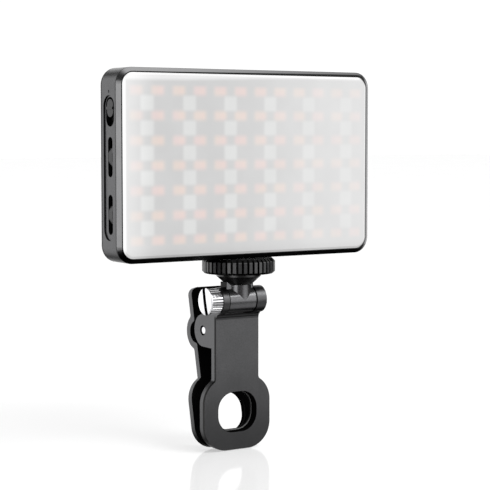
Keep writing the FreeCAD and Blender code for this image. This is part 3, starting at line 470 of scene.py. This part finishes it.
CLIP_TONE = (0.115, 0.115, 0.118)
frame_coat = frame_finish()
post_coat = post_finish()
cover_plastic = coated("cover_plastic", (0.018, 0.018, 0.019), 0.52, 0.45, 0.03)
button_plastic = coated("button_plastic", (0.04, 0.04, 0.041), 0.22, 0.3, 0.01, metal=1.0)
switch_plastic = coated("switch_plastic", (0.01, 0.01, 0.011), 0.45, 0.4, 0.02)
rubber = moulded_rubber("rubber")
silver = turned("silver", (0.9, 0.9, 0.92), 0.2, "x")
slotted = screw_metal()
steel_x = turned("steel_x", (0.66, 0.66, 0.68), 0.24, "x")
steel_z = turned("steel_z", (0.66, 0.66, 0.68), 0.24, "z")
brass = turned("brass", (0.78, 0.58, 0.26), 0.26, "z")

FINISHES = {
    "housing": frame_coat, "back_cover": cover_plastic, "diffuser": lit_sheet(),
    "led_board": circuit("white_board", (0.8, 0.81, 0.79), (0.62, 0.6, 0.5)),
    "warm_leds": light_package("warm_package", (0.85, 0.55, 0.12), LIGHT_PITCH,
                               LIGHT_PITCH / 2, 0.0),
    "cool_leds": light_package("cool_package", (0.84, 0.78, 0.25), LIGHT_PITCH * 2, LIGHT_PITCH,
                               LIGHT_ROW / 2),
    "battery": wrapped_cell(),
    "control_board": circuit("black_board", (0.006, 0.007, 0.007), (0.03, 0.035, 0.033)),
    "indicator_lens": button_plastic,
    "charge_socket": steel_x, "power_switch": switch_plastic, "upper_switch": switch_plastic,
    "lower_switch": switch_plastic, "power_slider": button_plastic,
    "upper_toggle": button_plastic, "lower_toggle": button_plastic, "tripod_socket": brass,
    "stud": steel_z, "stud_ring": steel_z, "locking_wheel": wheel_plastic(),
    "tilt_post": post_coat, "thumb_screw": slotted, "front_jaw": jaw_finish(),
    "rear_jaw": rear_finish(), "front_pad": pad_rubber(), "rear_pad": rubber, "pivot_pin": silver,
    "clip_spring": steel_x,
}
FINISHES["charge_board"] = FINISHES["control_board"]

for name, look in FINISHES.items():
    mesh = nodes[name].data
    mesh.materials.clear()
    mesh.materials.append(look.material)
    mesh.set_sharp_from_angle(angle=math.radians(32))


# narrow rounds along the sharp edges, widths in millimetres
ROUNDED = {
    "front_jaw": 0.3, "rear_jaw": 0.3, "locking_wheel": 0.14, "tilt_post": 0.15,
    "power_slider": 0.2, "upper_toggle": 0.15, "lower_toggle": 0.15,
}
for name, width in ROUNDED.items():
    bevel = nodes[name].modifiers.new("edges", "BEVEL")
    bevel.width, bevel.segments = width * MM, 2
    bevel.limit_method, bevel.angle_limit = "ANGLE", math.radians(30.0)
    bevel.harden_normals = True


# studio
def stage_mesh(name, points, faces, material):
    mesh = bpy.data.meshes.new(name)
    mesh.from_pydata(points, [], faces)
    item = bpy.data.objects.new(name, mesh)
    bpy.context.scene.collection.objects.link(item)
    mesh.materials.append(material)
    return item


def area_light(name, at, target, size, watts):
    data = bpy.data.lights.new(name, "AREA")
    data.shape = "RECTANGLE"
    data.size, data.size_y, data.energy = size, size, watts
    item = bpy.data.objects.new(name, data)
    item.location = at
    item.rotation_euler = (Vector(target) - Vector(at)).to_track_quat("-Z", "Y").to_euler()
    bpy.context.scene.collection.objects.link(item)


def smooth_rise(tree, value, low, high):
    """0 below low and 1 above high, smooth between."""
    fade = tree.nodes.new("ShaderNodeMapRange")
    fade.interpolation_type = "SMOOTHSTEP"
    tree.links.new(value, fade.inputs[0])
    fade.inputs[1].default_value = low
    fade.inputs[2].default_value = high
    return fade.outputs[0]


def weighted(tree, value, factor, added=0.0):
    """value times factor plus added; each is a socket or a number."""
    made = tree.nodes.new("ShaderNodeMath")
    made.operation = "MULTIPLY_ADD"
    for socket, part in zip(made.inputs, (value, factor, added)):
        if isinstance(part, bpy.types.NodeSocket):
            tree.links.new(part, socket)
        else:
            socket.default_value = part
    return made.outputs[0]


def shine(tree, direction, middle, wide, soft):
    """1 within an angle of the middle direction, fading to 0 over the soft angle."""
    facing = tree.nodes.new("ShaderNodeVectorMath")
    facing.operation = "DOT_PRODUCT"
    tree.links.new(direction, facing.inputs[0])
    facing.inputs[1].default_value = tuple(Vector(middle).normalized())
    return smooth_rise(tree, facing.outputs["Value"], math.cos(math.radians(wide + soft)),
                       math.cos(math.radians(wide)))


def sky():
    """A dark room with soft boxes, as the object's reflections show it."""
    room_level, bounce_level = 0.04, 0.55
    fade_from, fade_to = -0.85, -0.10
    world = bpy.data.worlds.new("studio")
    bpy.context.scene.world = world
    world.use_nodes = True
    tree = world.node_tree
    direction = tree.nodes.new("ShaderNodeTexCoord").outputs["Generated"]
    axes = tree.nodes.new("ShaderNodeSeparateXYZ")
    tree.links.new(direction, axes.inputs[0])
    boxes = [
        # middle direction, half-angle, soft edge, radiance
        ((-0.50, 0.86, -0.06), 20, 20, 1.25),   # wall behind on the left
        ((0.50, 0.86, 0.02), 24, 22, 1.00),     # wall behind on the right
        ((-0.84, -0.54, 0.02), 9, 13, 2.00),    # strip in front on the left
        ((0.34, -0.10, 0.94), 22, 28, 1.05),    # box overhead
        ((0.54, -0.84, 0.40), 20, 24, 1.35),    # box in front on the right, from above
        ((-0.20, -0.90, 0.45), 10, 30, 0.50),   # fill in front
    ]
    total = room_level
    for middle, wide, soft, radiance in boxes:
        lit = shine(tree, direction, middle, wide, soft)
        total = weighted(tree, lit, radiance, total)
    # the room fades out below, apart from a bounce from in front
    fade = smooth_rise(tree, axes.outputs[2], fade_from, fade_to)
    total = weighted(tree, total, fade)
    bounce = shine(tree, direction, (0.54, -0.51, -0.67), 10, 18)
    total = weighted(tree, bounce, bounce_level, total)
    back = tree.nodes["Background"]
    back.inputs["Color"].default_value = (1, 1, 1, 1)
    tree.links.new(total, back.inputs["Strength"])


def only_for_camera(item, shadow=False):
    item.visible_diffuse = item.visible_glossy = item.visible_transmission = False
    item.visible_volume_scatter = False
    item.visible_shadow = shadow


def white_backdrop():
    """A white shell far round the object, that lights nothing."""
    look = Look("backdrop", (1, 1, 1), 1.0)
    glow = look.node("ShaderNodeEmission")
    tone = look.step(look.noise(900.0, 1.0), 0.3, 0.7, 1.02, 1.08)
    look.feed(glow.inputs["Color"], (1.0, 1.0, 1.0))
    look.feed(glow.inputs["Strength"], tone)
    look.tree.links.new(glow.outputs[0], look.out.inputs["Surface"])
    rings, around, radius = 12, 24, 8.0
    spots = [(0, 0, -radius)]
    for i in range(1, rings):
        angle = math.pi * i / rings - math.pi / 2
        spots += [(radius * math.cos(angle) * math.cos(2 * math.pi * j / around),
                   radius * math.cos(angle) * math.sin(2 * math.pi * j / around),
                   radius * math.sin(angle)) for j in range(around)]
    spots.append((0, 0, radius))
    faces = []
    top, last_ring = len(spots) - 1, 1 + (rings - 2) * around
    for j in range(around):
        k = (j + 1) % around
        faces.append((0, 1 + k, 1 + j))
        faces.append((top, last_ring + j, last_ring + k))
        for i in range(rings - 2):
            a, b = 1 + i * around, 1 + (i + 1) * around
            faces.append((a + j, a + k, b + k, b + j))
    only_for_camera(stage_mesh("backdrop", spots, faces, look.material))


def white_floor(low):
    """A pale floor with a soft contact shadow and a faint reflection."""
    look = Look("floor", (0.55, 0.55, 0.55), 0.6, Specular_IOR_Level=0.0)
    gloss_share = 0.2
    look.set("Emission Color", (1.0, 1.0, 1.0))
    look.set("Emission Strength", look.step(look.noise(80.0, 1.0), 0.3, 0.7, 0.59, 0.605))
    gloss = look.node("ShaderNodeBsdfGlossy")
    look.feed(gloss.inputs["Color"], (1.0, 1.0, 1.0))
    look.feed(gloss.inputs["Roughness"], 0.09)
    blend = look.node("ShaderNodeMixShader")
    blend.inputs[0].default_value = gloss_share
    look.tree.links.new(look.shader.outputs[0], blend.inputs[1])
    look.tree.links.new(gloss.outputs[0], blend.inputs[2])
    look.tree.links.new(blend.outputs[0], look.out.inputs["Surface"])
    far = 6.0
    corners = [(-far, -far, low), (far, -far, low), (far, far, low), (-far, far, low)]
    only_for_camera(stage_mesh("floor", corners, [(0, 1, 2, 3)], look.material), True)


FLOOR_GAP = 0.3
scene = bpy.context.scene
scene.view_settings.view_transform = "Standard"
sky()
white_backdrop()
white_floor(cad_box[0][2] - FLOOR_GAP * MM)
area_light("key", at=(0.32, -0.72, 0.76), target=(0, 0, 0.05), size=0.4, watts=3.4)

# camera at the photo's angle
LENS, SENSOR = 112.07, 36.0
CAMERA_PLACE = (-298.83, -476.39, 102.96)
PITCH_DOWN, AZIMUTH = 4.21, 32.617
camera_data = bpy.data.cameras.new("camera")
camera = bpy.data.objects.new("camera", camera_data)
scene.collection.objects.link(camera)
camera_data.sensor_width = SENSOR
camera_data.lens = LENS
camera.location = Vector(CAMERA_PLACE) * MM
camera.rotation_euler = (math.radians(90 - PITCH_DOWN), 0, math.radians(-AZIMUTH))
scene.camera = camera
